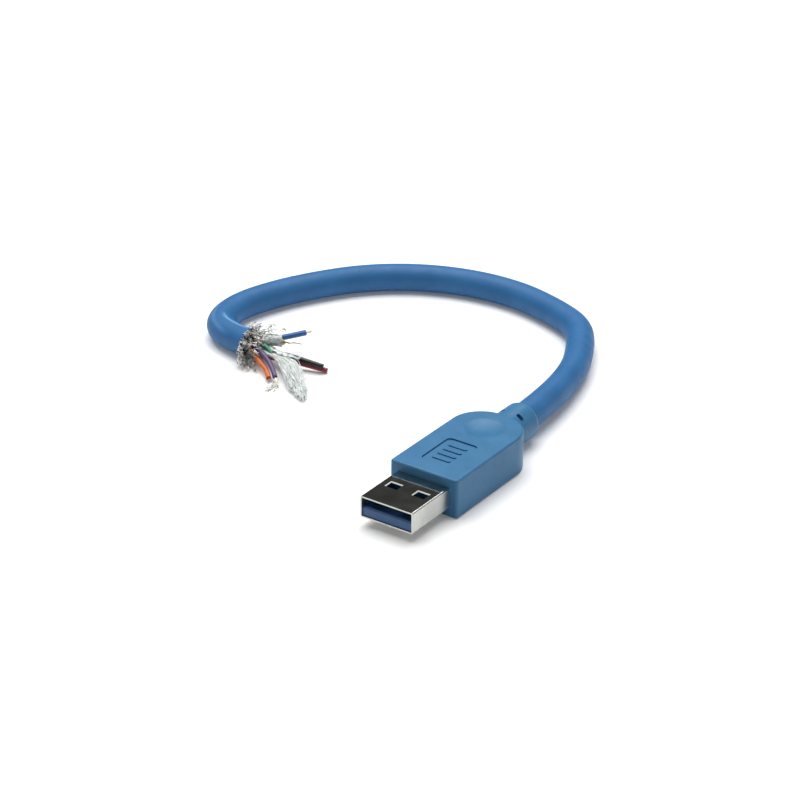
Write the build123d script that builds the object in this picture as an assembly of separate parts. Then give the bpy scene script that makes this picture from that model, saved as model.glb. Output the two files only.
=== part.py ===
"""A USB 3 type A plug with a short cut length of its shielded cable, stripped and frayed at the end.

All lengths are in millimetres. The plug lies flat with its mouth towards -Y and its cable towards +Y.
The origin is on the floor, under the middle of the plug.
"""
import os
from math import cos, radians, sin, tan

from build123d import *

# Plug shell, one strip of sheet metal folded round and closed by a seam underneath.
shell_width = 12.0
shell_height = 4.5
shell_sheet = 0.3
shell_corner = 0.35
shell_reach = 12.2
shell_embed = 6.0
window_width = 2.5
window_length = 1.9
window_spread = 6.2
window_setback = 6.9
window_bevel = 0.18
seam_width = 0.12
seam_key_width = 2.4
seam_key_neck = 1.4
seam_key_length = 1.6
seam_key_setback = 8.6

# Overmould: the grip that the fingers hold, and the round collar behind it.
grip_width = 15.5
grip_rear_width = 15.3
grip_height = 8.3
grip_length = 28.2
grip_shoulder = 7.0
grip_front_corner = 0.6
grip_edge = 0.5
collar_diameter = 7.9
collar_length = 7.4
collar_rounding = 1.5
dimple_width = 8.0
dimple_depth = 0.6
dimple_setback = 21.0
label_width = 7.0
label_length = 10.0
label_corner = 1.0
label_depth = 0.3
label_setback = 8.9
label_bar_count = 4
label_bar_pitch = 1.9
label_bar_width = 0.8
label_bar_length = 4.2
label_bar_rise = 0.22
pin_hole_length = 1.8
pin_hole_width = 1.0
pin_hole_depth = 0.9
pin_hole_setback = 2.2
pin_hole_angle = 35.0

# Blue insulator in the shell: a block, and the tongue that carries the contacts.
mouth_depth = 9.0
tongue_width = 11.3
tongue_thickness = 2.0
tongue_setback = 0.25
tongue_chamfer = 0.3
block_recess = 0.5
shell_fit = 0.03

# Contacts: four flat ones on the tongue and five sprung ones behind them.
contact_sheet = 0.25
flat_contact_width = 1.0
flat_contact_proud = 0.06
power_contact_setback = 1.6
data_contact_setback = 2.6
flat_contacts = {
    "ground_contact": (-3.5, power_contact_setback),
    "data_plus_contact": (-1.0, data_contact_setback),
    "data_minus_contact": (1.0, data_contact_setback),
    "power_contact": (3.5, power_contact_setback),
}
sprung_contact_width = 0.8
sprung_contact_reach = 1.5
sprung_contact_nose = 0.3
sprung_contacts = {
    "receive_minus_contact": -4.0,
    "receive_plus_contact": -2.0,
    "drain_contact": 0.0,
    "transmit_minus_contact": 2.0,
    "transmit_plus_contact": 4.0,
}
tail_length = 3.6
tail_row_height = 1.2
riser_depth = 2.4

# Shield can over the soldered joints, its neck, and the ring crimped round that.
can_sheet = 0.25
can_gap = 0.05
can_setback = 1.5
can_length = 16.0
neck_length = 2.6
crimp_wall = 0.35
crimp_length = 1.8
crimp_setback = 0.4

# Cable, from the outside in.
jacket_diameter = 6.0
jacket_wall = 0.85
braid_wall = 0.15
foil_wall = 0.1
lay_gap = 0.02
filler_radius = 0.6
drain_radius = 0.13
core_radius = 0.25
swollen_diameter = 6.7
swollen_length = 3.2
braid_lip = 0.2
flare_radius = 4.4
flare_length = 1.5
flare_wall = 0.25
flush_tip = 0.12
bare_tips = {"blue_wire": 1.4, "purple_wire": 1.4, "orange_wire": 0.8}

# Cable route in plan, measured from the middle of the collar's end, and how far each point lies above
# the height of a cable that rests on the floor. The height of the first point is that of the plug's axis.
route_plan = [
    (0, 4.4), (-3.8, 24.9), (-9.6, 37.0), (-14.2, 43.4), (-21.5, 46.8), (-32.5, 49.8), (-44.5, 49.2),
    (-56.0, 45.0), (-66.2, 37.2), (-74.0, 25.4), (-78.4, 14.6), (-79.3, 7.0), (-77.6, 0.7),
    (-73.0, -2.6), (-65.5, -3.8),
]
route_lift = [None] + [0.0] * 12 + [0.15, 0.35]

# A bend takes this share of the shorter straight run beside it.
bend_share = 0.45
wire_bend = 4.0
wire_mouth_run = 0.8
wire_joint_run = 1.2
wire_joint_gap = 0.4
joint_strip = 2.2

# Each wire: its radius, the angle of its place in the cable, seen along the cable from its plug with 0
# to the left and 90 on top, its solder tail (place across, and 1 for the upper row or -1 for the lower),
# and the points of its stripped end, measured from the middle of the jacket's cut end.
wires = {
    "blue_wire": (0.575, 15.0, -4.0, 1, [(1.8, 1.95, 0.5), (3.6, 4.1, 0.65), (6.7, 10.1, 0.6)]),
    "yellow_wire": (0.575, 68.0, -2.0, 1, [(2.5, 0.75, 1.25), (4.8, 2.95, 0.65), (5.8, 3.9, 0.4)]),
    "purple_wire": (0.5, 116.0, 2.0, 1,
                    [(2.4, -1.5, 0.9), (5.0, -2.5, 0.1), (8.7, -4.3, -1.3), (11.4, -6.6, -2.3)]),
    "orange_wire": (0.5, 160.0, 4.0, 1,
                    [(2.2, -2.55, -0.15), (4.6, -3.6, -1.5), (8.2, -5.0, -2.3), (10.2, -7.3, -2.4)]),
    "red_wire": (0.55, 206.5, 3.5, -1,
                 [(3.9, -1.4, -1.1), (8.2, 1.4, -1.95), (11.7, 2.3, -2.1), (16.8, 3.95, -2.75)]),
    "white_wire": (0.4, 248.5, 1.0, -1, [(2.3, -0.45, -1.75), (3.7, -0.3, -1.85)]),
    "green_wire": (0.4, 281.5, -1.0, -1, [(2.3, 0.5, -1.75), (4.4, 0.6, -1.7)]),
    "black_wire": (0.55, 323.5, -3.5, -1,
                   [(2.6, 1.45, -1.0), (6.9, 1.3, -0.7), (11.9, 1.8, -0.85), (16.4, 3.05, -1.7)]),
}
drains = {
    "pair_drain_wire": (92.0, [(2.4, 0.6, 2.05), (4.4, 3.0, 1.95), (6.4, 5.2, 0.5), (7.9, 6.0, 0.1),
                               (9.2, 7.4, -0.7)]),
    "screen_drain_wire": (349.25, [(2.0, 2.3, -0.7), (3.8, 3.3, -2.3)]),
}
filler_tail = [(2.4, 0.0, -0.1), (5.2, -0.1, -0.2), (8.9, -0.5, -0.5)]
plume_sections = [
    # Middle of the section, its width and its thickness.
    ((12.6, -2.9, -1.2), 2.8, 1.0),
    ((16.7, -6.0, -2.0), 3.2, 0.8),
    ((20.7, -9.6, -2.7), 1.8, 0.5),
]

# Places that follow from the sizes above.
plug_length = shell_reach + grip_length + collar_length
mouth_y = -plug_length / 2
grip_front = mouth_y + shell_reach
grip_back = grip_front + grip_length
collar_end = plug_length / 2
axis_height = grip_height / 2
shell_back = grip_front + shell_embed
shell_floor = axis_height - shell_height / 2 + shell_sheet
tongue_top = shell_floor + tongue_thickness
tongue_front = mouth_y + tongue_setback
block_front = mouth_y + mouth_depth
block_back = shell_back - block_recess
riser_y = block_front + riser_depth
can_front = grip_front + can_setback
can_back = can_front + can_length
neck_end = can_back + neck_length
jacket_start = neck_end
jacket_radius = jacket_diameter / 2
braid_radius = jacket_radius - jacket_wall
foil_radius = braid_radius - braid_wall
bundle_radius = foil_radius - foil_wall
braid_start = can_back - can_sheet
cut_end = (route_plan[-1][0], collar_end + route_plan[-1][1], jacket_radius + route_lift[-1])


def rounded_bar(width, height, corner, front, back, height_of_middle=axis_height):
    """A bar along Y with rounded corners, between two places."""
    profile = Plane.XZ.offset(-front) * Pos(0, height_of_middle) * RectangleRounded(width, height, corner)
    return extrude(profile, amount=-(back - front))


def block(x_limits, y_limits, z_limits):
    """A box between its limits on each axis."""
    limits = (x_limits, y_limits, z_limits)
    middle = [sum(pair) / 2 for pair in limits]
    return Pos(*middle) * Box(*[pair[1] - pair[0] for pair in limits])


def round_bar(radius, front, back):
    """A round bar along the plug's axis, between two places."""
    return Pos(0, (front + back) / 2, axis_height) * Rot(X=90) * Cylinder(radius, back - front)


# Cable paths.

def largest_bends(points):
    """The bend radius at each inner point, as large as the two runs beside it allow."""
    radii = []
    for before, corner, after in zip(points, points[1:], points[2:]):
        incoming = Vector(corner) - Vector(before)
        outgoing = Vector(after) - Vector(corner)
        half_turn = radians(incoming.get_angle(outgoing)) / 2
        radii.append(bend_share * min(incoming.length, outgoing.length) / tan(half_turn))
    return radii


def cable_route(start_y):
    """The points of the cable's middle line, from a place on the plug's axis to the cut end."""
    points = [(0, start_y, axis_height)]
    for (x, y), lift in zip(route_plan, route_lift):
        height = axis_height if lift is None else jacket_radius + lift
        points.append((x, collar_end + y, height))
    return points


def cable_path(start_y):
    radii = largest_bends(cable_route(jacket_start))
    return FilletPolyline(*cable_route(start_y), radius=radii)


def left_of(start, end):
    """The level direction to the left of a run."""
    along = Vector(end[0] - start[0], end[1] - start[1], 0).normalized()
    return Vector(-along.Y, along.X, 0)


def stretched(start, end, extra):
    """The end of a run, moved on by an extra length."""
    along = (Vector(end) - Vector(start)).normalized()
    return tuple(Vector(end) + along * extra)


def parallel_route(left, up):
    """Corner points and radii of a line that keeps its distance from the cable's middle line, and goes a
    little way straight on out of its cut end."""
    route = cable_route(jacket_start)
    radii = largest_bends(route)
    corners, bends = [], []
    for before, corner, after, radius in zip(route, route[1:], route[2:], radii):
        side_in, side_out = left_of(before, corner), left_of(corner, after)
        shift = (side_in + side_out) * (left / (1 + side_in.dot(side_out)))
        turns_left = side_in.cross(side_out).Z > 0
        corners.append(tuple(Vector(corner) + shift + Vector(0, 0, up)))
        bends.append(radius - left if turns_left else radius + left)
    mouth = stretched(route[-2], route[-1], wire_mouth_run)
    corners.append(tuple(Vector(mouth) + left_of(route[-2], route[-1]) * left + Vector(0, 0, up)))
    return corners, bends


def lay_place(radius, angle):
    """Where a wire lies in the cable: to the left, and up."""
    distance = bundle_radius - radius - lay_gap
    return distance * cos(radians(angle)), distance * sin(radians(angle))


def wire_path(radius, angle, tail_x, tail_side, stripped, joint_bare=0.0, tip_bare=0.0):
    """A wire's line from its solder tail, through the cable, to its stripped end."""
    left, up = lay_place(radius, angle)
    corners, bends = parallel_route(left, up)
    tail_z = axis_height + tail_side * tail_row_height
    joint = block_back + tail_length + wire_joint_gap
    plug_end = (tail_x, joint - joint_bare, tail_z)
    fan = [(tail_x, joint + wire_joint_run, tail_z), (-left, can_back - neck_length / 2, axis_height + up)]
    tail = [tuple(Vector(*cut_end) + Vector(*point)) for point in stripped]
    tail_bends = largest_bends(corners[-1:] + tail)
    mouth_bend = largest_bends([corners[-2], corners[-1], tail[0]])
    tail[-1] = stretched(tail[-2], tail[-1], tip_bare)
    points = [plug_end] + fan + corners + tail
    return FilletPolyline(*points, radius=[wire_bend] * 2 + bends + mouth_bend + tail_bends)


def drain_path(angle, stripped):
    """A bare drain wire's line, straight out of the plug's neck and on to its stripped end."""
    left, up = lay_place(drain_radius, angle)
    corners, bends = parallel_route(left, up)
    tail = [tuple(Vector(*cut_end) + Vector(*point)) for point in stripped]
    tail_bends = largest_bends(corners[-1:] + tail)
    mouth_bend = largest_bends([corners[-2], corners[-1], tail[0]])
    points = [(-left, braid_start, axis_height + up)] + corners + tail
    return FilletPolyline(*points, radius=bends + mouth_bend + tail_bends)


def along(path, outer, inner=0.0):
    """A round rod, or a tube, along a path."""
    start = Plane(origin=path @ 0, z_dir=path % 0)
    profile = Circle(outer) - Circle(inner) if inner else Circle(outer)
    return sweep(start * profile, path=path)


# Pieces of the plug.

def plug_shell():
    shell = rounded_bar(shell_width, shell_height, shell_corner, mouth_y, shell_back)
    shell -= rounded_bar(shell_width - 2 * shell_sheet, shell_height - 2 * shell_sheet,
                         shell_corner - shell_sheet, mouth_y, shell_back)
    window_y = mouth_y + window_setback
    for side in (-1, 1):
        x = side * window_spread / 2
        shell -= block((x - window_width / 2, x + window_width / 2),
                       (window_y - window_length / 2, window_y + window_length / 2),
                       (axis_height - shell_height, axis_height + shell_height))
        rim = Plane.XY.offset(axis_height + shell_height / 2 - window_bevel) * Pos(x, window_y)
        rim = extrude(rim * Rectangle(window_width, window_length), amount=2 * window_bevel, taper=-45)
        shell -= rim
        shell -= mirror(rim, about=Plane.XY.offset(axis_height))
    return shell - shell_seam()


def shell_seam():
    """The slit where the folded sheet's edges meet, with its dovetail key."""
    key_start = mouth_y + seam_key_setback
    key_end = key_start + seam_key_length
    line = Polyline((0, mouth_y - 1), (0, key_start), (seam_key_neck / 2, key_start),
                    (seam_key_width / 2, key_end), (-seam_key_width / 2, key_end),
                    (-seam_key_neck / 2, key_end + seam_key_length), (0, key_end + seam_key_length),
                    (0, shell_back + 1))
    bottom = axis_height - shell_height / 2
    slit = Plane.XY.offset(bottom - shell_sheet) * trace(line, line_width=seam_width)
    return extrude(slit, amount=2 * shell_sheet)


def flat_contact(x, setback):
    """A strip on the tongue's face, which steps down through the block to its solder tail."""
    half = flat_contact_width / 2
    top = tongue_top + flat_contact_proud
    front = tongue_front + setback
    step = block_front - sprung_contact_reach - 2 * contact_sheet
    tail_top = axis_height - tail_row_height - core_radius
    strip = block((x - half, x + half), (front, step), (top - contact_sheet, top))
    strip += block((x - half, x + half), (step - contact_sheet, step), (tail_top - contact_sheet, top))
    strip += block((x - half, x + half), (step - contact_sheet, block_back + tail_length),
                   (tail_top - contact_sheet, tail_top))
    return strip


def sprung_contact(x):
    """A strip with a raised nose behind the flat contacts, which steps up to its solder tail."""
    half = sprung_contact_width / 2
    front = block_front - sprung_contact_reach
    tail_bottom = axis_height + tail_row_height + core_radius
    strip = block((x - half, x + half), (front, riser_y), (tongue_top, tongue_top + contact_sheet))
    strip += block((x - half, x + half), (riser_y - contact_sheet, riser_y),
                   (tongue_top, tail_bottom + contact_sheet))
    strip += block((x - half, x + half), (riser_y - contact_sheet, block_back + tail_length),
                   (tail_bottom, tail_bottom + contact_sheet))
    nose = Pos(x, front + sprung_contact_nose, tongue_top + contact_sheet) * Rot(Y=90)
    nose = nose * Cylinder(sprung_contact_nose, sprung_contact_width)
    nose -= block((x - 1, x + 1), (front - 1, front + 1), (tongue_top - 1, tongue_top + contact_sheet))
    return strip + nose


def contact_carrier(contacts):
    """The insulator: a block that fills the shell behind the mouth, and the tongue in front of it."""
    inner_width = shell_width - 2 * shell_sheet - 2 * shell_fit
    inner_height = shell_height - 2 * shell_sheet - 2 * shell_fit
    corner = shell_corner - shell_sheet
    carrier = rounded_bar(inner_width, inner_height, corner, block_front, block_back)
    tongue = block((-tongue_width / 2, tongue_width / 2), (tongue_front, block_front),
                   (shell_floor + shell_fit, tongue_top))
    front_top = tongue.edges().filter_by(Axis.X).group_by(Axis.Y)[0].sort_by(Axis.Z)[-1]
    carrier += chamfer(front_top, tongue_chamfer)
    for contact in contacts.values():
        carrier -= contact
    return carrier


def can_outline(front, grow):
    """The inside of the shield can, or its outside when grown by the sheet."""
    width = shell_width + 2 * can_gap + 2 * grow
    height = shell_height + 2 * can_gap + 2 * grow
    back = can_back - can_sheet + grow
    return rounded_bar(width, height, shell_corner + can_gap + grow, front, back)


def neck_outside():
    return round_bar(braid_radius + can_sheet, can_back - can_sheet, neck_end)


def shield_can():
    """Both halves of the can together: a box open to the front, with a tube at its back."""
    can = can_outline(can_front, can_sheet) + neck_outside()
    can -= can_outline(can_front, 0)
    return can - round_bar(braid_radius, can_back - 2 * can_sheet, neck_end)


def crimp_outside():
    front = can_back + crimp_setback
    return round_bar(braid_radius + can_sheet + crimp_wall, front, front + crimp_length)


def crimp_ring():
    return crimp_outside() - neck_outside()


def inner_mould(fillings):
    """The hard filling in the can, moulded round the soldered joints."""
    mould = can_outline(shell_back, 0)
    for filling in fillings:
        mould -= filling
    return mould


def grip():
    """The overmould's outer form, before its inside is taken out."""
    front, rear = grip_width / 2, grip_rear_width / 2
    outline = make_face(Polyline((-front, grip_front), (-rear, grip_back), (rear, grip_back),
                                 (front, grip_front), close=True))
    outline = fillet(outline.vertices().group_by(Axis.Y)[-1], grip_shoulder)
    body = extrude(outline, amount=grip_height)
    body = fillet(body.edges().filter_by(Axis.Z).group_by(Axis.Y)[0], grip_front_corner)
    flat_edges = body.faces().sort_by(Axis.Z)[0].edges() + body.faces().sort_by(Axis.Z)[-1].edges()
    body = fillet(flat_edges, grip_edge)
    collar = round_bar(collar_diameter / 2, grip_back - grip_shoulder / 2, collar_end)
    collar = fillet(collar.edges().group_by(Axis.Y)[-1], collar_rounding)
    return body + collar


def thumb_dimple():
    ball = ((dimple_width / 2) ** 2 + dimple_depth ** 2) / (2 * dimple_depth)
    return Pos(0, grip_front + dimple_setback, grip_height - dimple_depth + ball) * Sphere(ball)


def label_recess():
    """A shallow tray on top, with short plain bars across it for grip."""
    floor = Plane.XY.offset(grip_height - label_depth)
    place = Pos(0, grip_front + label_setback)
    tray = extrude(floor * place * RectangleRounded(label_width, label_length, label_corner),
                   amount=2 * label_depth)
    for index in range(label_bar_count):
        shift = (index - (label_bar_count - 1) / 2) * label_bar_pitch
        bar = floor * place * Pos(0, shift) * SlotOverall(label_bar_length, label_bar_width)
        tray -= extrude(bar, amount=label_bar_rise)
    return tray


def pin_hole(side):
    """The mark of a pin that held the cable in the mould: a short slot across the collar."""
    start = collar_diameter / 2 - pin_hole_depth
    slot = SlotOverall(pin_hole_length, pin_hole_width)
    hole = extrude(Plane.XY.offset(start) * slot, amount=2 * pin_hole_depth)
    return Pos(0, grip_back + pin_hole_setback, axis_height) * Rot(Y=side * pin_hole_angle) * hole


def overmould():
    mould = grip() - thumb_dimple() - label_recess()
    for side in (-1, 1):
        mould -= pin_hole(side)
    mould -= rounded_bar(shell_width, shell_height, shell_corner, grip_front, shell_back)
    mould -= can_outline(can_front, can_sheet)
    mould -= neck_outside()
    mould -= crimp_outside()
    return mould - along(cable_path(jacket_start), jacket_radius)


# Pieces of the cable.

def end_plane():
    """The plane of the jacket's cut end, with its normal out of the cable."""
    route = cable_route(jacket_start)
    return Plane(origin=route[-1], z_dir=Vector(route[-1]) - Vector(route[-2]))


def cable_jacket():
    jacket = along(cable_path(jacket_start), jacket_radius, braid_radius)
    swelling = Cone(jacket_radius, swollen_diameter / 2, swollen_length) - Cylinder(braid_radius,
                                                                                   swollen_length)
    return jacket + end_plane() * Pos(0, 0, -swollen_length / 2) * swelling


def shield_braid():
    """The braid's tube, flared at the cut end and cut off where it meets the floor."""
    braid = along(cable_path(braid_start), braid_radius, foil_radius)
    skirt = Polyline((foil_radius, 0), (braid_radius, 0), (braid_radius + braid_lip, braid_lip),
                     (flare_radius, flare_length), (flare_radius - flare_wall, flare_length + flare_wall),
                     (foil_radius, 2 * flare_wall), close=True)
    skirt = revolve(Plane.XZ * make_face(skirt), Axis.Z)
    skirt = end_plane() * skirt
    reach = 3 * flare_radius
    below = Pos(cut_end[0], cut_end[1], -reach / 2) * Box(reach, reach, reach)
    return braid + (skirt - below)


def shield_foil():
    return along(cable_path(braid_start), foil_radius, bundle_radius)


def filler_yarn():
    """The soft yarn in the middle of the cable, which spreads into a flat plume at the cut end."""
    corners, bends = parallel_route(0, 0)
    tail = [tuple(Vector(*cut_end) + Vector(*point)) for point in filler_tail]
    radii = bends + largest_bends([corners[-2], corners[-1], tail[0]]) + largest_bends(corners[-1:] + tail)
    path = FilletPolyline((0, neck_end, axis_height), *corners, *tail, radius=radii)
    ahead = (Vector(*tail[-1]) - Vector(*tail[-2])).normalized()
    sections = [Plane(origin=tail[-1], x_dir=left_of(tail[-2], tail[-1]), z_dir=ahead)
                * Ellipse(filler_radius, filler_radius)]
    last = tail[-1]
    for point, width, thickness in plume_sections:
        middle = tuple(Vector(*cut_end) + Vector(*point))
        ahead = (Vector(*middle) - Vector(*last)).normalized()
        place = Plane(origin=middle, x_dir=left_of(last, middle), z_dir=ahead)
        sections.append(place * Ellipse(width / 2, thickness / 2))
        last = middle
    return along(path, filler_radius) + loft(sections)


def save(name, piece):
    piece.label = name
    export_step(piece, f"parts/{name}.step")


def main():
    os.makedirs("parts", exist_ok=True)
    pieces = {name: flat_contact(*place) for name, place in flat_contacts.items()}
    pieces.update({name: sprung_contact(x) for name, x in sprung_contacts.items()})
    pieces["contact_carrier"] = contact_carrier(dict(pieces))
    fillings = [pieces[name] for name in [*flat_contacts, *sprung_contacts]]
    cable = {}
    for name, (radius, angle, tail_x, tail_side, stripped) in wires.items():
        line = wire_path(radius, angle, tail_x, tail_side, stripped)
        tip_bare = bare_tips.get(name, flush_tip)
        long_line = wire_path(radius, angle, tail_x, tail_side, stripped, joint_strip, tip_bare)
        cable[name] = along(line, radius, core_radius)
        cable[f"{name}_core"] = along(long_line, core_radius)
        fillings += [along(line, radius), cable[f"{name}_core"]]
    for name, (angle, stripped) in drains.items():
        cable[name] = along(drain_path(angle, stripped), drain_radius)
    pieces["inner_mould"] = inner_mould(fillings)
    pieces["plug_shell"] = plug_shell()
    can = shield_can()
    middle = Plane.XY.offset(axis_height)
    pieces["shield_can_upper"] = split(can, bisect_by=middle, keep=Keep.TOP)
    pieces["shield_can_lower"] = split(can, bisect_by=middle, keep=Keep.BOTTOM)
    pieces["crimp_ring"] = crimp_ring()
    pieces["overmould"] = overmould()
    cable["cable_jacket"] = cable_jacket()
    cable["shield_braid"] = shield_braid()
    cable["shield_foil"] = shield_foil()
    cable["filler_yarn"] = filler_yarn()
    pieces.update(cable)
    for name, piece in pieces.items():
        save(name, piece)

    path = cable_path(jacket_start)
    radii = largest_bends(cable_route(jacket_start))
    tube = along(path, jacket_radius)
    print("cable bend radii, mm:", ", ".join(f"{radius:.1f}" for radius in radii))
    print(f"cable length {path.length:.1f} mm, tube volume {tube.volume:.1f} mm3, "
          f"section times length {Circle(jacket_radius).area * path.length:.1f} mm3")


main()
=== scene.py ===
from math import cos, pi, radians, sin
from random import Random

import bmesh
import bpy
import numpy as np
from mathutils import Matrix, Vector, noise


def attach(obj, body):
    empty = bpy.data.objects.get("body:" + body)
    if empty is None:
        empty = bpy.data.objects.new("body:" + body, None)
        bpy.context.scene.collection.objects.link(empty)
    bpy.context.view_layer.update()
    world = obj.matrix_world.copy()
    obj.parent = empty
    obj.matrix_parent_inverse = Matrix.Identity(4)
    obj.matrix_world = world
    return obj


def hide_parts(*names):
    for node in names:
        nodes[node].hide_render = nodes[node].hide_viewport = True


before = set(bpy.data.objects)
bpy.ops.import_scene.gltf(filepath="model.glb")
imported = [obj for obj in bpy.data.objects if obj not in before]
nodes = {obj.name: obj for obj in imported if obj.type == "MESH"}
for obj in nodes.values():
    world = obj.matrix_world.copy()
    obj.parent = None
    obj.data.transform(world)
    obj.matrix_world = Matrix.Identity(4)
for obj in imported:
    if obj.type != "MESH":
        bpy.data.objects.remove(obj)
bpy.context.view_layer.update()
MM = 0.001


# Camera. It looks down on the plug's mouth from its right, from far off with a long lens.
view_azimuth = radians(34.67)
view_elevation = radians(27.34)
view_roll = radians(0.40)
view_distance = 572.9 * MM
view_lens = 135.0
view_sensor = 36.0
nearest_seen = 10 * MM
aim = Vector((-9.13, -6.47, 18.36)) * MM

back = Vector((sin(view_azimuth) * cos(view_elevation), -cos(view_azimuth) * cos(view_elevation),
               sin(view_elevation)))
right = Vector((cos(view_azimuth), sin(view_azimuth), 0))
stance = Matrix((right, back.cross(right), back)).transposed().to_4x4()
roll = Matrix.Rotation(view_roll, 4, "Z")
camera_data = bpy.data.cameras.new("camera")
camera_data.lens = view_lens
camera_data.sensor_width = view_sensor
camera_data.clip_start = nearest_seen
camera = bpy.data.objects.new("camera", camera_data)
camera.matrix_world = Matrix.Translation(aim + back * view_distance) @ stance @ roll
bpy.context.collection.objects.link(camera)
bpy.context.scene.camera = camera


# Cable jacket. Soft blue vinyl, extruded over the screen and cut off square with a blade, which left its
# end a little swollen. It lies on the table from the plug's collar round to its stripped end.
jacket_radius = 3.0
jacket_bore = 2.15
jacket_swelling = 0.34
jacket_swollen_length = 5.0
jacket_turns = 48
route = [
    (0, 8.4, 4.15), (0, 28.3, 4.15), (-3.8, 48.8, 3.0), (-9.6, 60.9, 3.0), (-14.2, 67.3, 3.0),
    (-21.5, 70.7, 3.0), (-32.5, 73.7, 3.0), (-44.5, 73.1, 3.0), (-56.0, 68.9, 3.0), (-66.2, 61.1, 3.0),
    (-74.0, 49.3, 3.0), (-78.4, 38.5, 3.0), (-79.3, 30.9, 3.0), (-77.6, 24.6, 3.0), (-73.0, 21.3, 3.15),
    (-65.5, 20.1, 3.35),
]
# The tight bend carries a painted highlight: a paler colour painted along the bend's crest and, less, in a
# line that winds down its outer side, where the light catches the jacket. A reach says how far from the cut
# it starts, is full, fades and ends, in millimetres, and the places round the jacket are in degrees.
crest_reach = (0, 2, 10, 13)
crest_place = 104
crest_width = 7
outer_reach = (4, 7, 12, 17)
outer_place = 20
outer_twist = 3.2
outer_width = 9
outer_share = 0.35
painted_highlight_colour = (0.19, 0.38, 0.66)


def link(name, data):
    """A new object in the scene."""
    made = bpy.data.objects.new(name, data)
    bpy.context.collection.objects.link(made)
    return made


def smooth_lines(name, lines):
    """One curve object with a smooth open line through each list of control points, in millimetres."""
    curve = bpy.data.curves.new(name, "CURVE")
    curve.dimensions = "3D"
    curve.resolution_u = 16
    for points in lines:
        spline = curve.splines.new("NURBS")
        spline.points.add(len(points) - 1)
        for point, place in zip(spline.points, points):
            point.co = (*(Vector(place) * MM), 1)
        spline.order_u = 3
        spline.use_endpoint_u = True
    return link(name, curve)


def evaluated_mesh(thing):
    """The object as it is with its modifiers, as a plain mesh, and the object taken away."""
    bpy.context.view_layer.update()
    mesh = bpy.data.meshes.new_from_object(thing.evaluated_get(bpy.context.evaluated_depsgraph_get()))
    bpy.data.objects.remove(thing)
    return mesh


def line_points(points):
    """Points close together along one smooth line, in order, in millimetres."""
    mesh = evaluated_mesh(smooth_lines("line", [points]))
    places = np.array([vertex.co for vertex in mesh.vertices]) / MM
    bpy.data.meshes.remove(mesh)
    return places


def frames_along(points):
    """The direction at each point of a line, its right-hand side, and the direction square to both."""
    along = np.gradient(points, axis=0)
    along /= np.linalg.norm(along, axis=1)[:, None]
    rights = np.cross(along, (0, 0, 1))
    rights /= np.linalg.norm(rights, axis=1)[:, None]
    return along, rights, np.cross(rights, along)


def distance_along(points):
    """How far each point is from the line's start."""
    steps = np.linalg.norm(np.diff(points, axis=0), axis=1)
    return np.concatenate([[0], np.cumsum(steps)])


def ring_mesh(rings, closed=True):
    """A mesh through rings of points, in millimetres. closed joins the last ring to the first."""
    made = bmesh.new()
    rows = [[made.verts.new(Vector(place) * MM) for place in ring] for ring in rings]
    turns = len(rows[0])
    for row, following in zip(rows, rows[1:] + rows[:1] if closed else rows[1:]):
        for i in range(turns):
            j = (i + 1) % turns
            made.faces.new((row[i], row[j], following[j], following[i]))
    if not closed:
        made.faces.new(rows[0][::-1])
        made.faces.new(rows[-1])
    bmesh.ops.recalc_face_normals(made, faces=made.faces)
    mesh = bpy.data.meshes.new("rings")
    made.to_mesh(mesh)
    made.free()
    mesh.shade_smooth()
    return mesh


def rod(points, radius, turns=10, flatness=1.0):
    """A solid rod along a line. radius is one size or one for each point, and flatness squashes it."""
    _, rights, ups = frames_along(points)
    radius = np.broadcast_to(radius, len(points))
    angles = np.linspace(0, 2 * pi, turns, endpoint=False)
    circle = (np.cos(angles)[None, :, None] * rights[:, None]
              + flatness * np.sin(angles)[None, :, None] * ups[:, None])
    return ring_mesh([points[i] + circle[i] * radius[i] for i in range(len(points))], closed=False)


def sleeve(points, outer, inner, turns=16, edge_share=0.12):
    """A tube round a line, with softened edges at both ends. outer and inner are its radii, one size each
    or one for each point."""
    along, rights, ups = frames_along(points)
    outer = np.broadcast_to(outer, len(points))
    inner = np.broadcast_to(inner, len(points))
    angles = np.linspace(0, 2 * pi, turns, endpoint=False)
    circle = (np.cos(angles)[None, :, None] * rights[:, None]
              + np.sin(angles)[None, :, None] * ups[:, None])
    rings = []
    for i in range(len(points)):
        rings.append(points[i] + circle[i] * outer[i])
    for end in (-1, 0):
        edge = edge_share * (outer[end] - inner[end])
        lip = points[end] + along[end] * (edge if end else -edge)
        radii = (outer[end] - edge, inner[end] + edge)
        for radius in (radii if end else radii[::-1]):
            rings.append(lip + circle[end] * radius)
        if end:
            for i in reversed(range(len(points))):
                rings.append(points[i] + circle[i] * inner[i])
    return ring_mesh(rings)


def new_material(name):
    """A node material, its tree and its shader."""
    material = bpy.data.materials.new(name)
    material.use_nodes = True
    tree = material.node_tree
    return material, tree, tree.nodes["Principled BSDF"]


def node(tree, kind, inputs=None, **settings):
    """A node with its settings, and its inputs' values or links."""
    made = tree.nodes.new(kind)
    for key, value in settings.items():
        setattr(made, key, value)
    for key, value in (inputs or {}).items():
        if isinstance(value, bpy.types.NodeSocket):
            tree.links.new(value, made.inputs[key])
        else:
            made.inputs[key].default_value = value
    return made


def speckle(tree, size, detail=3.0, stretch=(1, 1, 1)):
    """Noise with features of about this size, in millimetres, fixed to the object."""
    place = node(tree, "ShaderNodeTexCoord").outputs["Object"]
    mapping = node(tree, "ShaderNodeMapping", {"Vector": place, "Scale": stretch})
    texture = node(tree, "ShaderNodeTexNoise",
                   {"Vector": mapping.outputs["Vector"], "Scale": 1 / (size * MM), "Detail": detail})
    return texture.outputs["Fac"]


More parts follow.
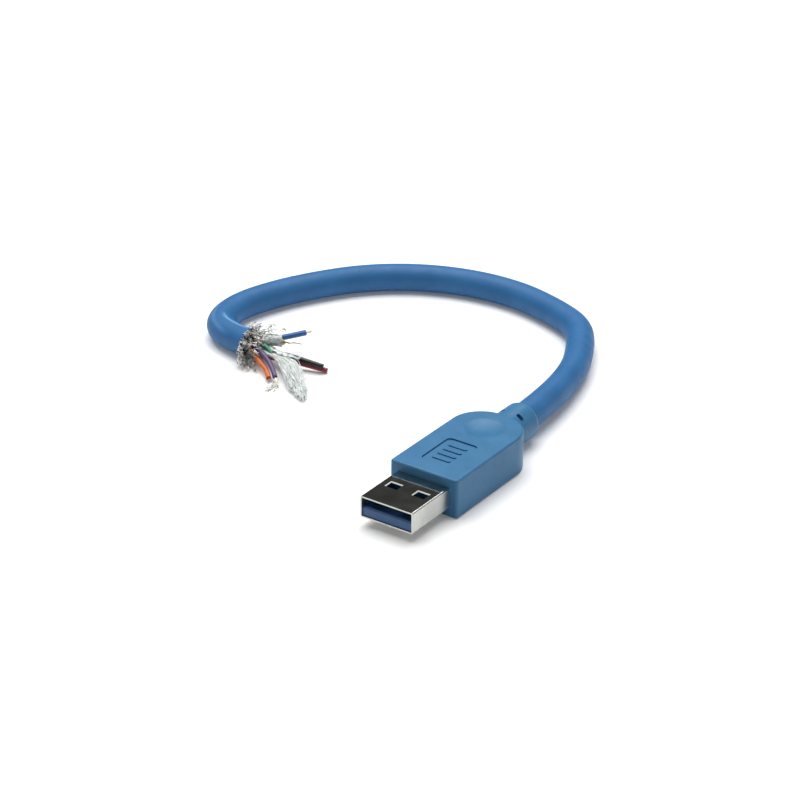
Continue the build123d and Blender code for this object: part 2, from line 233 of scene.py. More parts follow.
def ramp(tree, value, low, high, start=0.3, end=0.7):
    """A colour between two colours by a value."""
    made = node(tree, "ShaderNodeValToRGB", {"Fac": value})
    made.color_ramp.elements[0].position = start
    made.color_ramp.elements[1].position = end
    made.color_ramp.elements[0].color = (*low, 1)
    made.color_ramp.elements[1].color = (*high, 1)
    return made.outputs["Color"]


def between(tree, value, low, high, start=0.3, end=0.7):
    """A number between two numbers by a value."""
    return node(tree, "ShaderNodeMapRange", {"Value": value, "From Min": start, "From Max": end,
                                             "To Min": low, "To Max": high}).outputs["Result"]


def bump(tree, height, depth, strength=1.0, over=None):
    """A raised pattern, its depth in millimetres, over another one where given."""
    inputs = {"Height": height, "Distance": depth * MM, "Strength": strength}
    if over is not None:
        inputs["Normal"] = over
    return node(tree, "ShaderNodeBump", inputs).outputs["Normal"]


def coat(tree, shader, colour, roughness, normal=None):
    """Lays a colour, a roughness and a relief on a shader."""
    tree.links.new(colour, shader.inputs["Base Color"])
    tree.links.new(roughness, shader.inputs["Roughness"])
    if normal is not None:
        tree.links.new(normal, shader.inputs["Normal"])


def vinyl(name, low, high, roughness, grain=0.16, grain_depth=0.006, painted_highlight=None):
    """Moulded or extruded vinyl: cloudy colour, a fine grain and faint rubbed patches. Where a highlight
    colour is given, it is mixed in as a painted highlight, as far as the mesh's attribute of that name
    says."""
    material, tree, shader = new_material(name)
    shader.inputs["Specular IOR Level"].default_value = 0.25
    clouds = speckle(tree, 6.0, 4.0)
    rubbed = speckle(tree, 2.2, 6.0)
    colour = ramp(tree, clouds, low, high)
    if painted_highlight:
        # Painted highlight: a paler colour mixed in as far as the mesh's attribute says.
        share = node(tree, "ShaderNodeAttribute", attribute_name="painted_highlight").outputs["Fac"]
        paler = node(tree, "ShaderNodeMix", {"Factor": share}, data_type="RGBA")
        # The colour sockets share their names with the number sockets, so they go by their places.
        tree.links.new(colour, paler.inputs[6])
        paler.inputs[7].default_value = (*painted_highlight, 1)
        colour = paler.outputs[2]
    fine = bump(tree, speckle(tree, grain, 2.0), grain_depth)
    coat(tree, shader, colour, between(tree, rubbed, roughness - 0.06, roughness + 0.10),
         bump(tree, rubbed, 0.02, 0.6, fine))
    return material


def fade(distance, start, full, fading, end):
    """A share that rises between start and full, and falls between fading and end."""
    rise = np.clip((distance - start) / (full - start), 0, 1)
    return rise * np.clip((end - distance) / (end - fading), 0, 1)


def hump(turns, place, width):
    """A share that is whole at one place round a cord, and fades away on both sides of it."""
    return np.exp(-((turns - place) / width) ** 2)


def piece(name, mesh, material, *stands_for, slot=None):
    """A piece that rides on the one body, and stands for these nodes of the model."""
    made = link(name, mesh)
    if not mesh.materials:
        mesh.materials.append(material)
    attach(made, "root")
    if stands_for:
        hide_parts(*stands_for)
    return made


jacket_vinyl = vinyl("jacket_vinyl", (0.026, 0.128, 0.312), (0.034, 0.156, 0.362), 0.50,
                     painted_highlight=painted_highlight_colour)
cable_line = line_points(route)
from_cut = distance_along(cable_line)[-1] - distance_along(cable_line)
swelling = np.clip(1 - from_cut / jacket_swollen_length, 0, 1) ** 2 * jacket_swelling
tube = sleeve(cable_line, jacket_radius + swelling, jacket_bore, jacket_turns)
# Painted highlight: the share of the paler colour at each point of the jacket, along the bend's crest and
# down its outer side.
stretch = tube.attributes.new("painted_highlight", "FLOAT", "POINT")
turns = np.degrees(np.linspace(0, 2 * pi, jacket_turns, endpoint=False))
for ring, gap in enumerate(from_cut):
    crest = fade(gap, *crest_reach) * hump(turns, crest_place, crest_width)
    outer = fade(gap, *outer_reach) * hump(turns, outer_place + outer_twist * gap, outer_width)
    for turn, share in enumerate(crest + outer_share * outer):
        stretch.data[jacket_turns * ring + turn].value = share
jacket = piece("jacket_tube", tube, jacket_vinyl, "cable_jacket", slot="cable_jacket")


# Contact carrier. Hard blue plastic, moulded in one piece with the tongue that the contacts lie on.
def dress(name, material):
    """Gives a piece of the frame its finish."""
    nodes[name].data.materials.clear()
    nodes[name].data.materials.append(material)


carrier_plastic, tree, shader = new_material("carrier_plastic")
coat(tree, shader,
     ramp(tree, speckle(tree, 1.5, 4.0), (0.008, 0.074, 0.220), (0.013, 0.095, 0.265)),
     between(tree, speckle(tree, 0.5, 5.0), 0.28, 0.42),
     bump(tree, speckle(tree, 0.12, 2.0), 0.004))
dress("contact_carrier", carrier_plastic)


# Contacts. Thin bronze strips with a gold flash, four flat on the tongue and five sprung behind them.
gold_flash, tree, shader = new_material("gold_flash")
shader.inputs["Metallic"].default_value = 1.0
wear = speckle(tree, 0.35, 6.0, (6, 1, 1))
# Painted shade: the gold is darkened to a dim bronze, for the shade inside the plug's mouth that hides the
# contacts.
coat(tree, shader, ramp(tree, wear, (0.22, 0.14, 0.055), (0.36, 0.24, 0.10)),
     between(tree, wear, 0.30, 0.46), bump(tree, wear, 0.004))
for name in nodes:
    if name.endswith("_contact"):
        dress(name, gold_flash)


# Shell. Thin steel, folded round and nickel plated. It is bright, with fine scratches from handling, a haze
# of rubbed patches, and cut edges that shine.
side_roughness = 0.34
top_roughness = 0.07
nickel_plate, tree, shader = new_material("nickel_plate")
shader.inputs["Metallic"].default_value = 1.0
haze = speckle(tree, 4.0, 8.0)
scratches = speckle(tree, 0.35, 8.0, (8, 1, 1))
facing = node(tree, "ShaderNodeTexCoord").outputs["Normal"]
upward = node(tree, "ShaderNodeSeparateXYZ", {"Vector": facing}).outputs["Z"]
flatness = node(tree, "ShaderNodeMath", {0: upward}, operation="ABSOLUTE").outputs["Value"]
worn = node(tree, "ShaderNodeMath", {0: between(tree, flatness, side_roughness, top_roughness, 0.2, 0.8),
                                     1: between(tree, haze, -0.02, 0.05)}, operation="ADD")
coat(tree, shader, ramp(tree, haze, (0.49, 0.50, 0.47), (0.62, 0.63, 0.60)), worn.outputs["Value"],
     bump(tree, haze, 0.02, 0.06, bump(tree, scratches, 0.002, 0.5)))
dress("plug_shell", nickel_plate)


# Inner mould, shield can and crimp ring. They close the back of the shell inside the grip: clear hard
# plastic round the soldered joints, two halves of tinned sheet over it, and a ring pressed on their neck.
natural_plastic, tree, shader = new_material("natural_plastic")
coat(tree, shader, ramp(tree, speckle(tree, 2.0), (0.62, 0.62, 0.56), (0.74, 0.74, 0.68)),
     between(tree, speckle(tree, 0.8), 0.35, 0.5))
dress("inner_mould", natural_plastic)

tinned_sheet, tree, shader = new_material("tinned_sheet")
shader.inputs["Metallic"].default_value = 1.0
brushed = speckle(tree, 0.5, 6.0, (1, 8, 1))
coat(tree, shader, ramp(tree, brushed, (0.50, 0.50, 0.48), (0.66, 0.66, 0.63)),
     between(tree, brushed, 0.3, 0.5), bump(tree, brushed, 0.004))
for name in ("shield_can_upper", "shield_can_lower", "crimp_ring"):
    dress(name, tinned_sheet)


# Wires. Eight thin stranded wires with plastic insulation, soldered inside the plug. They run side by side
# through the cable and fan out of its stripped end, some cut short and some bared at the tip.
insulation_radii = {
    "blue": 0.62, "yellow": 0.62, "purple": 0.52, "orange": 0.55,
    "red": 0.55, "white": 0.42, "green": 0.50, "black": 0.55,
}
widest_laid = 0.575
insulation_colours = {
    "blue": ((0.012, 0.090, 0.290), (0.022, 0.130, 0.370)),
    "yellow": ((0.50, 0.36, 0.06), (0.62, 0.47, 0.10)),
    "purple": ((0.085, 0.045, 0.150), (0.130, 0.075, 0.210)),
    "orange": ((0.560, 0.110, 0.020), (0.720, 0.170, 0.035)),
    "red": ((0.200, 0.020, 0.040), (0.290, 0.035, 0.060)),
    "white": ((0.66, 0.68, 0.65), (0.80, 0.81, 0.78)),
    "green": ((0.020, 0.200, 0.105), (0.045, 0.300, 0.170)),
    "black": ((0.006, 0.006, 0.007), (0.016, 0.016, 0.017)),
}
core_radius = 0.25
core_fit = 0.98
strand_radius = 0.055
strand_count = 11
strip_at_joint = 2.2
bare_tips = {"blue": 1.4, "purple": 1.4, "orange": 0.8}
flush_tip = 0.12
cut_end = np.array(route[-1])
joint_y = -2.2
bundle_radius = 1.9
bundle_play = 0.02
# The angle of each wire's place in the cable, its solder joint (place across, and height from the plug's
# axis), and its stripped end, from the middle of the jacket's cut end.
wire_runs = {
    "blue": (15.0, -4.0, 1.2,
             [(1.2, 1.8, 0.5), (3.6, 4.1, 0.6), (6.7, 10.1, 0.6)]),
    "yellow": (68.0, -2.0, 1.2,
               [(1.1, 0.8, 1.15), (3.0, 2.4, 0.8), (4.8, 4.4, 0.5), (5.5, 3.8, 0.35)]),
    "purple": (116.0, 2.0, 1.2,
               [(1.6, -1.2, 0.9), (5.0, -2.3, 0.0), (8.5, -3.9, -1.1), (10.7, -5.9, -2.1)]),
    "orange": (160.0, 4.0, 1.2,
               [(1.8, -2.1, 0.1), (4.6, -3.3, -1.4), (7.9, -4.6, -2.2), (9.4, -6.4, -2.5)]),
    "red": (206.5, 3.5, -1.2,
            [(3.0, -1.3, -1.1), (8.2, 1.4, -1.95), (11.7, 2.2, -2.0), (16.9, 3.75, -2.75)]),
    "white": (248.5, 1.0, -1.2,
              [(1.4, -0.6, -1.6), (3.4, -0.5, -1.6)]),
    "green": (281.5, -1.0, -1.2,
              [(0.6, 0.45, -1.25), (2.0, 0.5, -0.2), (3.5, 0.2, 0.9), (5.7, -0.3, -0.5)]),
    "black": (323.5, -3.5, -1.2,
              [(1.6, 1.5, -1.0), (6.9, 1.3, -0.7), (11.9, 1.8, -0.85), (16.4, 3.05, -1.7)]),
}
# The purple wire's thin wires were pulled apart, and trail on towards the table.
purple_trails = [
    [(11.6, -7.2, -2.8), (12.0, -8.2, -3.1), (12.2, -11.0, -3.2)],
    [(11.8, -6.9, -2.6), (12.4, -7.6, -3.1), (12.9, -9.2, -3.2)],
    [(11.2, -7.4, -2.9), (11.6, -8.8, -3.2), (11.0, -10.6, -3.2)],
]


def lay_line(radius, angle):
    """The part of a line beside the cable's own, at a wire's place in the bundle."""
    distance = bundle_radius - radius - bundle_play
    _, rights, ups = frames_along(cable_line)
    return cable_line - rights * distance * cos(radians(angle)) + ups * distance * sin(radians(angle))


def with_tail(line, tail):
    """A line in the cable that goes on out of its cut end."""
    kept = line[from_cut > 1.5]
    points = [kept[-1], line[-1]] + [cut_end + point for point in tail]
    return np.concatenate([kept[:-1], line_points(points)])


def with_fan(line, x, height):
    """A line in the cable that starts at a solder joint in the plug."""
    axis = route[0][2]
    start = line[0]
    points = [(x, joint_y - strip_at_joint, axis + height), (x, joint_y + 1.2, axis + height),
              (start[0], start[1] - 3.9, start[2]), start]
    return np.concatenate([line_points(points)[:-1], line])


def cut_short(line, from_start, from_end):
    """A line without a length at each end."""
    far = distance_along(line)
    kept = line[(far > from_start) & (far < far[-1] - from_end)]
    first = [np.interp(from_start, far, line[:, i]) for i in range(3)]
    last = [np.interp(far[-1] - from_end, far, line[:, i]) for i in range(3)]
    return np.concatenate([[first], kept, [last]])


def strand_tree():
    """Geometry nodes that turn guide lines into bundles of thin strands, which spread, curl and lie on the
    table."""
    tree = bpy.data.node_groups.new("strand_bundle", "GeometryNodeTree")
    sockets = tree.interface
    sockets.new_socket("Guides", in_out="INPUT", socket_type="NodeSocketGeometry")
    for name in ("Strands", "Points", "Seed"):
        sockets.new_socket(name, in_out="INPUT", socket_type="NodeSocketInt")
    for name in ("Root spread", "Tip spread", "Curl", "Curl size", "Strand radius"):
        sockets.new_socket(name, in_out="INPUT", socket_type="NodeSocketFloat")
    sockets.new_socket("Material", in_out="INPUT", socket_type="NodeSocketMaterial")
    sockets.new_socket("Strands", in_out="OUTPUT", socket_type="NodeSocketGeometry")
    given = node(tree, "NodeGroupInput").outputs
    lines = node(tree, "GeometryNodeResampleCurve", {"Curve": given["Guides"], "Count": given["Points"]},
                 mode="COUNT")
    copies = node(tree, "GeometryNodeDuplicateElements",
                  {"Geometry": lines.outputs["Curve"], "Amount": given["Strands"]}, domain="SPLINE")
    index = node(tree, "GeometryNodeInputIndex").outputs["Index"]
    strand = node(tree, "GeometryNodeFieldOnDomain", {"Value": index}, domain="CURVE", data_type="INT")
    chance = node(tree, "FunctionNodeRandomValue", data_type="FLOAT_VECTOR")
    chance.inputs["Min"].default_value = (-1, -1, -1)
    chance.inputs["Max"].default_value = (1, 1, 1)
    tree.links.new(strand.outputs["Value"], chance.inputs["ID"])
    tree.links.new(given["Seed"], chance.inputs["Seed"])
    side = chance.outputs["Value"]
    factor = node(tree, "GeometryNodeSplineParameter").outputs["Factor"]
    spread = node(tree, "ShaderNodeMapRange", {"Value": factor, "To Min": given["Root spread"],
                                               "To Max": given["Tip spread"]}).outputs["Result"]
    apart = node(tree, "ShaderNodeVectorMath", {0: side, "Scale": spread}, operation="SCALE").outputs[0]
    place = node(tree, "GeometryNodeInputPosition").outputs["Position"]
    far = node(tree, "ShaderNodeVectorMath", {0: side, "Scale": 0.05}, operation="SCALE").outputs[0]
    where = node(tree, "ShaderNodeVectorMath", {0: place, 1: far}, operation="ADD").outputs[0]
    fineness = node(tree, "ShaderNodeMath", {0: 1.0, 1: given["Curl size"]}, operation="DIVIDE").outputs[0]
    texture = node(tree, "ShaderNodeTexNoise", {"Vector": where, "Scale": fineness, "Detail": 1.0})
    centred = node(tree, "ShaderNodeVectorMath", {0: texture.outputs["Color"], 1: (0.5, 0.5, 0.5)},
                   operation="SUBTRACT").outputs[0]
    amount = node(tree, "ShaderNodeMath", {0: factor, 1: given["Curl"]}, operation="MULTIPLY").outputs[0]
    curl = node(tree, "ShaderNodeVectorMath", {0: centred, "Scale": amount}, operation="SCALE").outputs[0]
    offset = node(tree, "ShaderNodeVectorMath", {0: apart, 1: curl}, operation="ADD").outputs[0]
    moved = node(tree, "GeometryNodeSetPosition",
                 {"Geometry": copies.outputs["Geometry"], "Offset": offset})
    parts = node(tree, "ShaderNodeSeparateXYZ",
                 {"Vector": node(tree, "GeometryNodeInputPosition").outputs["Position"]}).outputs
    height = node(tree, "ShaderNodeMath", {0: parts["Z"], 1: given["Strand radius"]}, operation="MAXIMUM")
    grounded = node(tree, "ShaderNodeCombineXYZ",
                    {"X": parts["X"], "Y": parts["Y"], "Z": height.outputs[0]})
    laid = node(tree, "GeometryNodeSetPosition",
                {"Geometry": moved.outputs["Geometry"], "Position": grounded.outputs["Vector"]})
    profile = node(tree, "GeometryNodeCurvePrimitiveCircle",
                   {"Resolution": 5, "Radius": given["Strand radius"]})
    skin = node(tree, "GeometryNodeCurveToMesh", {"Curve": laid.outputs["Geometry"],
                                                  "Profile Curve": profile.outputs["Curve"],
                                                  "Fill Caps": True})
    whole = node(tree, "GeometryNodeRealizeInstances", {"Geometry": skin.outputs["Mesh"]})
    smooth = node(tree, "GeometryNodeSetShadeSmooth", {"Geometry": whole.outputs["Geometry"]})
    finish = node(tree, "GeometryNodeSetMaterial",
                  {"Geometry": smooth.outputs["Geometry"], "Material": given["Material"]})
    node(tree, "NodeGroupOutput", {"Strands": finish.outputs["Geometry"]})
    return tree


strand_bundle = strand_tree()


def strands(guides, material, count, root, tip, curl, curl_size, radius, seed, points=20):
    """Thin strands along guide lines, as a plain mesh: count for each guide, root and tip apart at its two
    ends. Sizes are in millimetres."""
    holder = smooth_lines("strands", guides)
    modifier = holder.modifiers.new("strands", "NODES")
    modifier.node_group = strand_bundle
    values = {
        "Strands": count, "Points": points, "Seed": seed, "Root spread": root * MM, "Tip spread": tip * MM,
        "Curl": curl * MM, "Curl size": curl_size * MM, "Strand radius": radius * MM, "Material": material,
    }
    for socket in strand_bundle.interface.items_tree:
        if socket.in_out == "INPUT" and socket.name in values:
            modifier[socket.identifier] = values[socket.name]
    return evaluated_mesh(holder)


def joined(*meshes):
    """Several meshes as one."""
    made = bmesh.new()
    for mesh in meshes:
        made.from_mesh(mesh)
    whole = bpy.data.meshes.new("joined")
    made.to_mesh(whole)
    made.free()
    whole.shade_smooth()
    return whole


def insulation(name, low, high):
    """Thin extruded insulation: an even colour with a slight bloom, and faint lines from the die."""
    material, tree, shader = new_material(name)
    bloom = speckle(tree, 0.9, 5.0)
    coat(tree, shader, ramp(tree, bloom, low, high), between(tree, bloom, 0.30, 0.46),
         bump(tree, speckle(tree, 0.25, 3.0), 0.006))
    return material


tinned_copper, tree, shader = new_material("tinned_copper")
shader.inputs["Metallic"].default_value = 1.0
tarnish = speckle(tree, 0.6, 5.0)
coat(tree, shader, ramp(tree, tarnish, (0.34, 0.31, 0.26), (0.80, 0.78, 0.72)),
     between(tree, tarnish, 0.18, 0.38), bump(tree, speckle(tree, 0.2, 3.0), 0.006))

tip_seeds = Random(11)
for colour, (angle, joint_x, joint_height, tail) in wire_runs.items():
    radius = insulation_radii[colour]
    bare_tip = bare_tips.get(colour, flush_tip)
    last = Vector(tail[-1])
    last = last + (last - Vector(tail[-2])).normalized() * bare_tip
    laid = lay_line(min(radius, widest_laid), angle)
    line = with_fan(with_tail(laid, tail[:-1] + [tuple(last)]), joint_x, joint_height)
    covered = cut_short(line, strip_at_joint, bare_tip)
    made = piece(f"{colour}_insulation", sleeve(covered, radius, core_radius),
                 insulation(f"{colour}_plastic", *insulation_colours[colour]),
                 f"{colour}_wire", slot=f"{colour}_insulation")
    far = distance_along(line)
    inside = line[far < far[-1] - bare_tip - 1.0]
    guide = [line[far > far[-1] - bare_tip - 1.5][0], covered[-1], line[-1]]
    tips = [strands([guide], tinned_copper, strand_count, root=0.13, tip=0.14 + 0.05 * bare_tip,
                    curl=0.4 * bare_tip, curl_size=0.9, radius=strand_radius,
                    seed=tip_seeds.randrange(1000), points=10)]
    if colour == "purple":
        trails = [[covered[-1], line[-1]] + [cut_end + point for point in trail] for trail in purple_trails]
        tips.append(strands(trails, tinned_copper, 3, root=0.1, tip=0.6, curl=1.8, curl_size=1.3,
                            radius=0.06, seed=17, points=26))
    made = piece(f"{colour}_strands", joined(rod(inside, core_radius * core_fit), *tips), tinned_copper,
                 f"{colour}_wire_core", slot="tinned_copper")


# Drain wires. Two bare stranded wires, one out of the foil of the blue and yellow pair, and one that lies
# on the cable's own foil.
drain_radius = 0.13
drain_runs = {
    "pair_drain_wire": (92.0, [(1.1, 0.3, 2.0), (3.7, 3.2, 1.8), (6.5, 4.4, 0.2), (6.9, 6.2, -0.1),
                               (7.6, 7.6, -0.8)]),
    "screen_drain_wire": (349.25, [(0.9, 1.95, -0.5), (3.1, 3.2, -2.0)]),
}
for name, (angle, tail) in drain_runs.items():
    line = lay_line(drain_radius, angle)
    guide = [line[-5], line[-1]] + [cut_end + point for point in tail]
    tips = strands([guide], tinned_copper, 7, root=0.05, tip=0.08, curl=0.5, curl_size=2.0,
                   radius=strand_radius, seed=5, points=28)
    made = piece(f"{name}_strands", joined(rod(line[:-4], drain_radius, 8), tips), tinned_copper, name,
                 slot="tinned_copper")


# Foil. Thin metal foil on clear film, wound round all the wires under the braid. It is torn off at the cut
# end, where scraps of it stand out.
foil_radius = 2.0
foil_wall = 0.1
# Each scrap's place round the cable in radians, and its length, how far it stands out and its width.
foil_scraps = [
    (-1.15, 2.8, 1.2, 0.70), (-0.75, 3.2, 1.8, 0.75), (-0.45, 3.0, 2.1, 0.50),
    (0.10, 2.4, 0.8, 0.60), (1.9, 1.8, 1.0, 0.60), (2.8, 2.2, 0.8, 0.50),
]
scrap_thinness = 0.08
above_table = 0.02
crease_seed = 3
cut_along, cut_right, cut_up = [axis[-1] for axis in frames_along(cable_line)]


def crumpled(mesh, size, depth):
    """The mesh with its points pushed about by smooth noise from a fixed seed, and none under the table."""
    noise.seed_set(crease_seed)
    for vertex in mesh.vertices:
        vertex.co += noise.noise_vector(vertex.co / (size * MM)) * depth * MM
        vertex.co.z = max(vertex.co.z, above_table * MM)
    return mesh


def film(name, low, high, metallic):
    """Thin foil or clear film with creases in its relief, and paler patches painted where the creases catch
    the light, as painted highlights.
    """
    material, tree, shader = new_material(name)
    shader.inputs["Metallic"].default_value = metallic
    crease_and_glint = speckle(tree, 0.7, 4.0)
    # The paler colour on the creases is a painted highlight; the relief of the creases is real.
    coat(tree, shader, ramp(tree, crease_and_glint, low, high), between(tree, crease_and_glint, 0.15, 0.4),
         bump(tree, crease_and_glint, 0.05))
    return material


scraps = []
for angle, length, outward, width in foil_scraps:
    out = cos(angle) * cut_right + sin(angle) * cut_up
    places = [(1.9, -0.6), (1.95, 0.4), (2.0 + 0.4 * outward, 0.55 * length), (1.9 + outward, length)]
    line = line_points([cut_end + out * away + cut_along * ahead for away, ahead in places])
    widths = width * np.linspace(1.1, 0.35, len(line))
    scraps.append(crumpled(rod(line, widths, 8, scrap_thinness), size=1.1, depth=0.3))
made = piece("foil_tube", joined(sleeve(cable_line, foil_radius, foil_radius - foil_wall, 24), *scraps),
             film("foil_film", (0.25, 0.42, 0.50), (0.80, 0.92, 0.96), 0.8),
             "shield_foil", slot="shield_foil")


# Pair films. Clear, whitish film round the blue and yellow pair, torn off where the yellow wire ends, and a
# loose strip of it that lies along the black wire.
pair_film_path = [(-1.6, 0.75, 0.75), (0.4, 1.0, 1.0), (2.8, 2.5, 0.75), (4.8, 4.4, 0.45)]
pair_film_outer = (1.0, 1.30)
pair_film_inner = (0.94, 1.24)
strip_path = [(0.5, 0.6, 0.6), (4.4, 0.6, 0.1), (8.2, 0.7, -0.1), (11.6, 1.3, -0.4)]
strip_width = (0.55, 0.8)
strip_thinness = 0.12
pair_line = line_points([cut_end + point for point in pair_film_path])
pair_sleeve = sleeve(pair_line, np.linspace(*pair_film_outer, len(pair_line)),
                     np.linspace(*pair_film_inner, len(pair_line)), 20)
pair_film = crumpled(pair_sleeve, size=0.9, depth=0.22)
strip_line = line_points([cut_end + point for point in strip_path])
strip = rod(strip_line, np.linspace(*strip_width, len(strip_line)), 10, strip_thinness)
clear_film = film("clear_film", (0.40, 0.45, 0.44), (0.80, 0.83, 0.82), 0.1)
made = piece("pair_films", joined(pair_film, crumpled(strip, size=1.2, depth=0.35)), clear_film,
             slot="shield_foil")


# Braid. Fine tinned wires woven round the foil. At the cut end they are unpicked and spread out all round,
# in tufts that curl and lean forward, and down to the table.
braid_radius = 2.15
braid_wall = 0.15
braid_wire_radius = 0.075
tuft_count = 50
near_side = -0.7
leaning_count = 12
leaning_from = -0.6
leaning_turn = 2.6
wisps = [
    [(0.0, 1.6, 1.4), (1.8, 3.0, 2.8), (3.6, 4.2, 3.5), (5.0, 5.4, 3.0)],
    [(0.0, 0.6, 2.0), (1.4, 1.6, 3.4), (2.8, 2.6, 3.9), (4.0, 4.0, 3.6)],
    [(0.0, -1.6, -1.2), (1.6, -3.0, -1.9), (3.0, -4.2, -2.6), (3.4, -5.8, -3.2)],
    [(0.0, -1.2, -1.6), (1.8, -2.6, -2.2), (3.6, -3.6, -2.9), (4.6, -5.0, -3.2)],
    [(0.0, -1.8, 0.4), (1.6, -3.2, 0.2), (3.0, -4.0, -0.8), (3.8, -4.4, -2.2)],
]
chance = Random(4)
tufts = []
for index in range(tuft_count):
    angle = 2 * pi * (index + chance.uniform(-0.4, 0.4)) / tuft_count
    out = cos(angle) * cut_right + sin(angle) * cut_up
    aside = -sin(angle) * cut_right + cos(angle) * cut_up
    near = max(0, cos(angle - near_side)) ** 2
    reach = chance.uniform(1.3, 2.4) + near * chance.uniform(0.2, 1.2)
    lean = chance.uniform(0.0, 1.6) - near * chance.uniform(0.0, 0.6)
    sway = chance.uniform(-1.1, 1.1)
    places = [(2.06, -1.5, 0), (2.08, 0.1, 0), (2.4 + 0.45 * reach, 0.2 + 0.2 * lean, 0.2 * sway),
              (2.3 + 0.85 * reach, 0.5 + 0.7 * lean, 0.6 * sway),
              (2.2 + reach, 0.7 + 1.5 * lean, sway + chance.uniform(-0.5, 0.5))]
    tufts.append([cut_end + out * away + cut_along * ahead + aside * across
                  for away, ahead, across in places])
for index in range(leaning_count):
    # These lean forward over the wires.
    angle = leaning_from + leaning_turn * (index + chance.uniform(-0.4, 0.4)) / leaning_count
    out = cos(angle) * cut_right + sin(angle) * cut_up
    reach = chance.uniform(2.4, 4.6)
    places = [(2.06, -1.5), (2.1, 0.3), (2.5, 0.45 * reach),
              (2.4 + chance.uniform(-0.5, 0.5), 0.75 * reach), (1.8 + chance.uniform(-0.8, 0.8), reach)]
    tufts.append([cut_end + out * away + cut_along * ahead for away, ahead in places])
braid_wire, tree, shader = new_material("braid_wire")
shader.inputs["Metallic"].default_value = 1.0
painted_glints_and_shade = speckle(tree, 1.3, 2.0)
# Painted light: the wires' colour runs from near black to white in patches, as painted shade in the gaps
# between the strands and painted glints on them.
coat(tree, shader, ramp(tree, painted_glints_and_shade, (0.09, 0.08, 0.065), (1.0, 0.98, 0.93), 0.38, 0.53),
     between(tree, painted_glints_and_shade, 0.2, 0.4), bump(tree, speckle(tree, 0.2, 3.0), 0.006))
frays = strands(tufts, braid_wire, 5, root=0.12, tip=0.8, curl=1.8, curl_size=1.4,
                radius=braid_wire_radius, seed=8, points=24)
loose_guides = [[cut_end + point for point in wisp] for wisp in wisps]
loose = strands(loose_guides, braid_wire, 3, root=0.3, tip=0.9, curl=2.2, curl_size=1.2,
                radius=braid_wire_radius, seed=9, points=26)
woven = sleeve(cable_line[:-2], braid_radius, braid_radius - braid_wall, 32)
made = piece("braid_sleeve", joined(woven, frays, loose), braid_wire, "shield_braid", slot="shield_braid")


# Filler yarn. Soft clear fibres down the middle of the cable, which keep it round. At the cut end they
# spread into a flat, pale plume that droops to the table, in tufts of uneven length.
yarn_radius = 0.6
plume_axis = [
    (1.0, -0.2, -0.4), (5.3, 0.1, -0.5), (9.6, -0.4, -0.8),
    (12.6, -2.7, -1.3), (16.7, -6.0, -2.3), (20.7, -9.6, -3.0),
]
plume_width = [0.5, 0.9, 1.6, 1.9, 1.6, 0.9]
plume_side = np.array((0.42, 0.90, 0.0))
tuft_ends = [0.20, 0.70, 1.05, 0.55, 1.0, 0.75, 0.25]
guides_per_tuft = 4
clear_fibre, tree, shader = new_material("clear_fibre")
shader.inputs["Subsurface Weight"].default_value = 0.3
shader.inputs["Subsurface Radius"].default_value = (MM, MM, MM)
shade = speckle(tree, 1.6, 4.0)
coat(tree, shader, ramp(tree, shade, (0.66, 0.72, 0.69), (0.95, 0.97, 0.96)),
     between(tree, shade, 0.30, 0.5))
chance = Random(21)
fibre_guides = []
for tuft, reach in enumerate(tuft_ends):
    for guide in range(guides_per_tuft):
        across = -1 + 2 * (tuft + 0.5 + chance.uniform(-0.35, 0.35)) / len(tuft_ends)
        line = [cable_line[-8], cable_line[-1]]
        for point, width in zip(plume_axis, plume_width):
            lift = chance.uniform(-0.3, 0.3) * width / 2
            line.append(cut_end + point + plume_side * across * width + np.array((0, 0, lift)))
        line[-1] = line[-2] + (line[-1] - line[-2]) * (reach + chance.uniform(-0.25, 0.05))
        fibre_guides.append(line)
plume = strands(fibre_guides, clear_fibre, 9, root=0.1, tip=0.5, curl=2.4, curl_size=2.8,
                radius=strand_radius, seed=3, points=30)
made = piece("filler_fibres", joined(rod(cable_line[:-7], yarn_radius, 12), plume), clear_fibre,
             "filler_yarn", slot="filler_yarn")


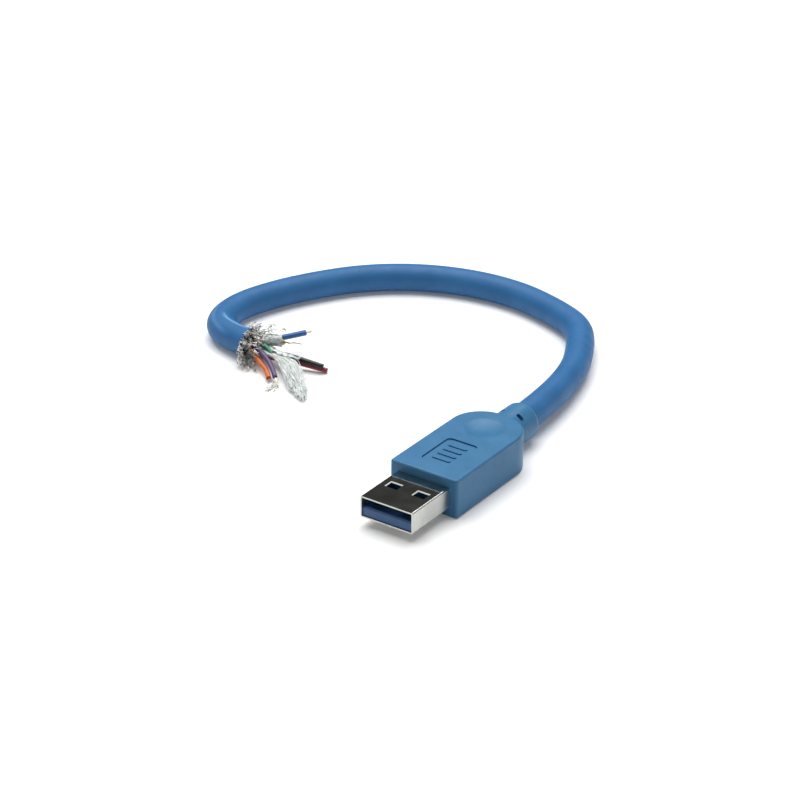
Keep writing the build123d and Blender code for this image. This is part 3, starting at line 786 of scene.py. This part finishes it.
# Overmould. The same blue vinyl, injected round the shell and the cable in one shot, with a thumb dimple
# and a shallow tray with bars on its top.
dress("overmould", vinyl("overmould_vinyl", (0.040, 0.160, 0.315), (0.050, 0.185, 0.355), 0.38,
                         grain=0.22, grain_depth=0.008))


# Floor, lights and surroundings. A white table, wide soft lights above and a dark room beyond, which the
# top of the shell mirrors.
floor_reach = 1.5
room_grey = 0.06
floor_white, tree, shader = new_material("floor")
shader.inputs["Base Color"].default_value = (0.90, 0.90, 0.90, 1)
shader.inputs["Roughness"].default_value = 0.9
shader.inputs["Specular IOR Level"].default_value = 0.1
shader.inputs["Emission Color"].default_value = (1.0, 1.0, 1.0, 1)
shader.inputs["Emission Strength"].default_value = 0.10
floor_corners = [(x * floor_reach, y * floor_reach, 0) for x, y in ((-1, -1), (1, -1), (1, 1), (-1, 1))]
floor_mesh = bpy.data.meshes.new("floor")
floor_mesh.from_pydata(floor_corners, [], [(0, 1, 2, 3)])
floor_mesh.materials.append(floor_white)
link("floor", floor_mesh)


def softbox(name, place, target, size, power):
    """A soft lamp that faces its target. Places and sizes are in metres, and the power in watts."""
    light = bpy.data.lights.new(name, "AREA")
    light.shape = "RECTANGLE"
    light.size = size[0]
    light.size_y = size[1]
    light.energy = power
    lamp = link(name, light)
    lamp.location = place
    lamp.rotation_euler = (Vector(target) - Vector(place)).to_track_quat("-Z", "Y").to_euler()


softbox("top_light", (-0.20, 0.20, 0.80), (0, 0, 0), (0.9, 0.9), 11.8)
softbox("front_light", (-0.42, -0.40, 0.58), (-0.02, 0.02, 0), (0.36, 0.36), 0.46)
softbox("back_light", (0.41, 0.66, 0.46), (0, 0, 0), (0.25, 0.25), 0.22)
softbox("side_light", (0.75, 0.25, 0.35), (0, 0.02, 0), (0.4, 0.5), 0.68)
bpy.context.scene.view_settings.view_transform = "Standard"
world = bpy.data.worlds.new("room")
world.use_nodes = True
surroundings = world.node_tree.nodes["Background"]
surroundings.inputs["Color"].default_value = (room_grey, room_grey, room_grey, 1)
surroundings.inputs["Strength"].default_value = 1.0
bpy.context.scene.world = world
